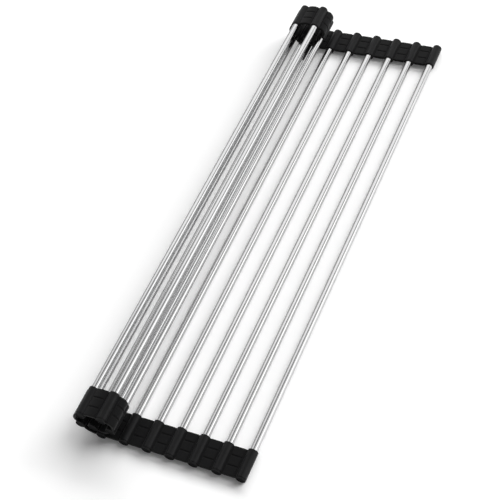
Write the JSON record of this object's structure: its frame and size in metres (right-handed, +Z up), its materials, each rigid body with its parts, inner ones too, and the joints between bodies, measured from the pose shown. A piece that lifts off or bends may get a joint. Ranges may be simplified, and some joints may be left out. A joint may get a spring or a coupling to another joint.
{
  "type": "roll-up dish rack",
  "caption": "Roll-up drying rack of parallel steel tubes held in two flexible silicone bands, shown half rolled.",
  "frame": {"origin": "under the middle of the half rolled rack, on the surface it rests on", "axes": "+Y along the rods from the front band to the back band, +X from the roll to the free rod, +Z up"},
  "size_m": [0.1406, 0.46, 0.0341],
  "materials": {
    "steel": "polished stainless steel",
    "silicone": "matt silicone"
  },
  "bodies": {
    "link_01": {"rod_01": "steel", "front_sleeve_01": "silicone", "back_sleeve_01": "silicone"},
    "link_02": {"rod_02": "steel", "front_sleeve_02": "silicone", "back_sleeve_02": "silicone", "front_web_01_02": "silicone", "back_web_01_02": "silicone"},
    "link_03": {"rod_03": "steel", "front_sleeve_03": "silicone", "back_sleeve_03": "silicone", "front_web_02_03": "silicone", "back_web_02_03": "silicone"},
    "link_04": {"rod_04": "steel", "front_sleeve_04": "silicone", "back_sleeve_04": "silicone", "front_web_03_04": "silicone", "back_web_03_04": "silicone"},
    "link_05": {"rod_05": "steel", "front_sleeve_05": "silicone", "back_sleeve_05": "silicone", "front_web_04_05": "silicone", "back_web_04_05": "silicone"},
    "link_06": {"rod_06": "steel", "front_sleeve_06": "silicone", "back_sleeve_06": "silicone", "front_web_05_06": "silicone", "back_web_05_06": "silicone", "front_web_06_07": "silicone", "back_web_06_07": "silicone"},
    "link_07": {"rod_07": "steel", "front_sleeve_07": "silicone", "back_sleeve_07": "silicone", "front_web_07_08": "silicone", "back_web_07_08": "silicone"},
    "link_08": {"rod_08": "steel", "front_sleeve_08": "silicone", "back_sleeve_08": "silicone", "front_web_08_09": "silicone", "back_web_08_09": "silicone"},
    "link_09": {"rod_09": "steel", "front_sleeve_09": "silicone", "back_sleeve_09": "silicone", "front_web_09_10": "silicone", "back_web_09_10": "silicone"},
    "link_10": {"rod_10": "steel", "front_sleeve_10": "silicone", "back_sleeve_10": "silicone", "front_web_10_11": "silicone", "back_web_10_11": "silicone"},
    "link_11": {"rod_11": "steel", "front_sleeve_11": "silicone", "back_sleeve_11": "silicone", "front_web_11_12": "silicone", "back_web_11_12": "silicone"},
    "link_12": {"rod_12": "steel", "front_sleeve_12": "silicone", "back_sleeve_12": "silicone"}
  },
  "joints": [
    {"name": "bend_05_06", "type": "hinge", "parent": "link_06", "child": "link_05", "pos_m": [-0.02158, 0, 0.00493], "axis": [0, -1, 0], "range_deg": [0, 61.5], "deforming": ["front_web_05_06", "back_web_05_06"]},
    {"name": "bend_04_05", "type": "hinge", "parent": "link_05", "child": "link_04", "pos_m": [-0.00208, 0, 0.00544], "axis": [0, -1, 0], "range_deg": [0, 90], "deforming": ["front_web_04_05", "back_web_04_05"]},
    {"name": "bend_03_04", "type": "hinge", "parent": "link_04", "child": "link_03", "pos_m": [0.01742, 0, 0.00467], "axis": [0, -1, 0], "range_deg": [0, 46.5], "deforming": ["front_web_03_04", "back_web_03_04"]},
    {"name": "bend_02_03", "type": "hinge", "parent": "link_03", "child": "link_02", "pos_m": [0.03692, 0, 0.00583], "axis": [0, -1, 0], "range_deg": [0, 110], "deforming": ["front_web_02_03", "back_web_02_03"]},
    {"name": "bend_01_02", "type": "hinge", "parent": "link_02", "child": "link_01", "pos_m": [0.05642, 0, 0.00543], "axis": [0, -1, 0], "range_deg": [0, 89], "deforming": ["front_web_01_02", "back_web_01_02"]},
    {"name": "bend_06_07", "type": "hinge", "parent": "link_06", "child": "link_07", "pos_m": [-0.04108, 0, 0.0044], "axis": [0, 1, 0], "range_deg": [0, 30], "deforming": ["front_web_06_07", "back_web_06_07"]},
    {"name": "unroll_07_08", "type": "hinge", "parent": "link_07", "child": "link_08", "pos_m": [-0.06058, 0, 0.00493], "axis": [0, -1, 0], "range_deg": [0, 61.5], "deforming": ["front_web_07_08", "back_web_07_08"]},
    {"name": "unroll_08_09", "type": "hinge", "parent": "link_08", "child": "link_09", "pos_m": [-0.06944, 0, 0.02231], "axis": [0, -1, 0], "range_deg": [0, 90], "deforming": ["front_web_08_09", "back_web_08_09"]},
    {"name": "unroll_09_10", "type": "hinge", "parent": "link_09", "child": "link_10", "pos_m": [-0.05267, 0, 0.03229], "axis": [0, -1, 0], "range_deg": [0, 46.5], "deforming": ["front_web_09_10", "back_web_09_10"]},
    {"name": "unroll_10_11", "type": "hinge", "parent": "link_10", "child": "link_11", "pos_m": [-0.03448, 0, 0.02517], "axis": [0, -1, 0], "range_deg": [0, 110], "deforming": ["front_web_10_11", "back_web_10_11"]},
    {"name": "unroll_11_12", "type": "hinge", "parent": "link_11", "child": "link_12", "pos_m": [-0.04617, 0, 0.00955], "axis": [0, -1, 0], "range_deg": [0, 89], "deforming": ["front_web_11_12", "back_web_11_12"]}
  ],
  "couplings": [
    {"joint": "unroll_08_09", "follows": "unroll_07_08", "ratio": 1.4634},
    {"joint": "unroll_09_10", "follows": "unroll_07_08", "ratio": 0.7561},
    {"joint": "unroll_10_11", "follows": "unroll_07_08", "ratio": 1.7886},
    {"joint": "unroll_11_12", "follows": "unroll_07_08", "ratio": 1.4472}
  ]
}
